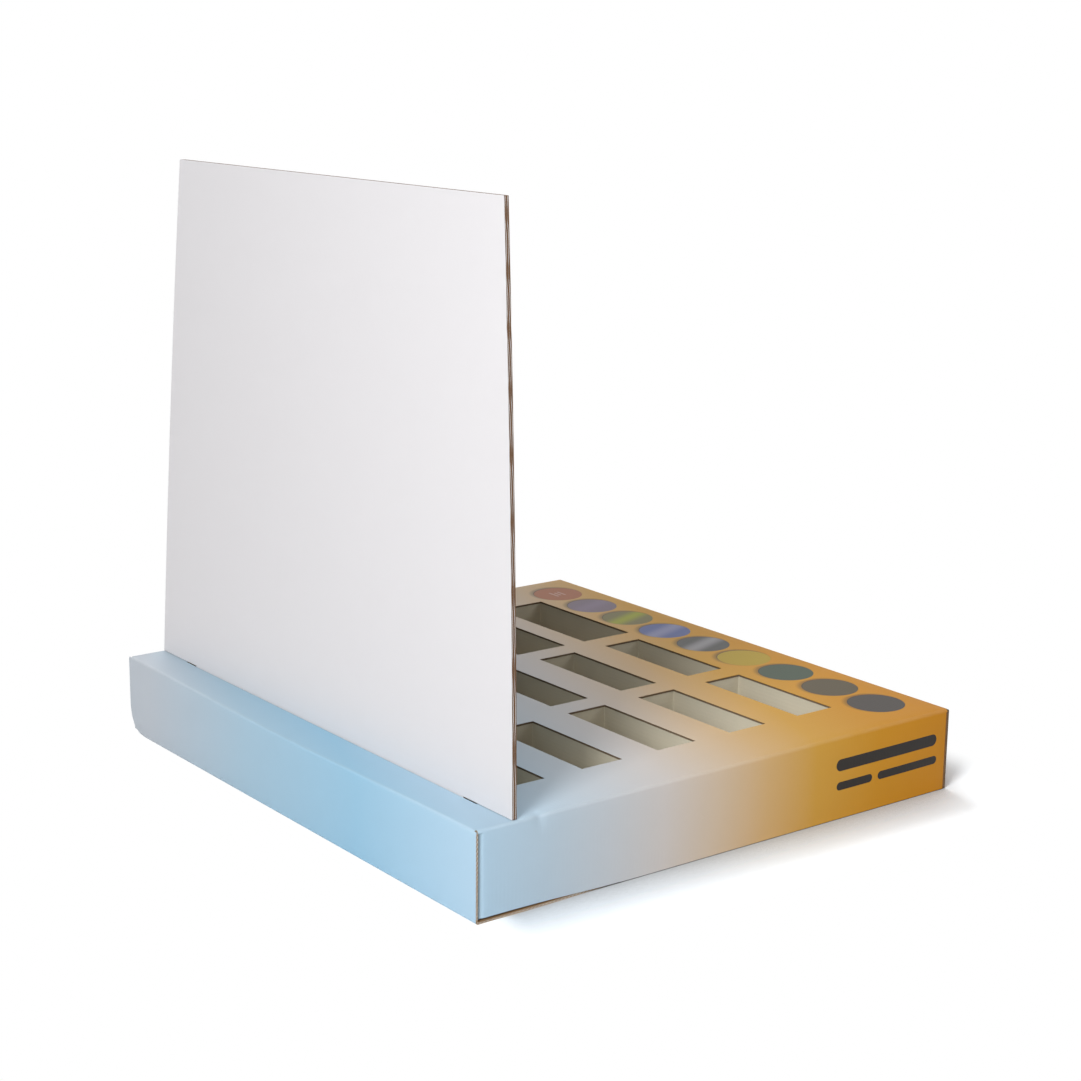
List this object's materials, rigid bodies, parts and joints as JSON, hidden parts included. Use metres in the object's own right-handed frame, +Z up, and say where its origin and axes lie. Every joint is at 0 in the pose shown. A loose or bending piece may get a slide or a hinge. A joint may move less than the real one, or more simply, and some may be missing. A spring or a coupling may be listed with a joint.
{
  "type": "counter display stand",
  "caption": "Low corrugated board tray with rows of rectangular pockets open at the top, and a tall tapered header board standing in a slot near the rear edge.",
  "frame": {"origin": "centre of the tray's underside, which is the centre of the bottom face of the bounding box", "axes": "+X along the tray's width, +Y towards the rear edge, where the header board stands, +Z up"},
  "size_m": [0.5, 0.457, 0.4772],
  "materials": {
    "printed_board": "printed corrugated board, satin, with a soft fade from blue at the rear to orange at the front",
    "plain_board": "unprinted corrugated board liner, matt",
    "white_board": "white back of a two ply printed board, matt"
  },
  "bodies": {
    "root": {"outer_box": "printed_board", "sleeve_r1_c1": "plain_board", "sleeve_r1_c2": "plain_board", "sleeve_r1_c3": "plain_board", "sleeve_r2_c1": "plain_board", "sleeve_r2_c2": "plain_board", "sleeve_r2_c3": "plain_board", "sleeve_r3_c1": "plain_board", "sleeve_r3_c2": "plain_board", "sleeve_r3_c3": "plain_board", "sleeve_r4_c1": "plain_board", "sleeve_r4_c2": "plain_board", "sleeve_r4_c3": "plain_board", "sleeve_r5_c1": "plain_board", "sleeve_r5_c2": "plain_board", "sleeve_r5_c3": "plain_board", "header_board": "white_board"}
  },
  "joints": []
}
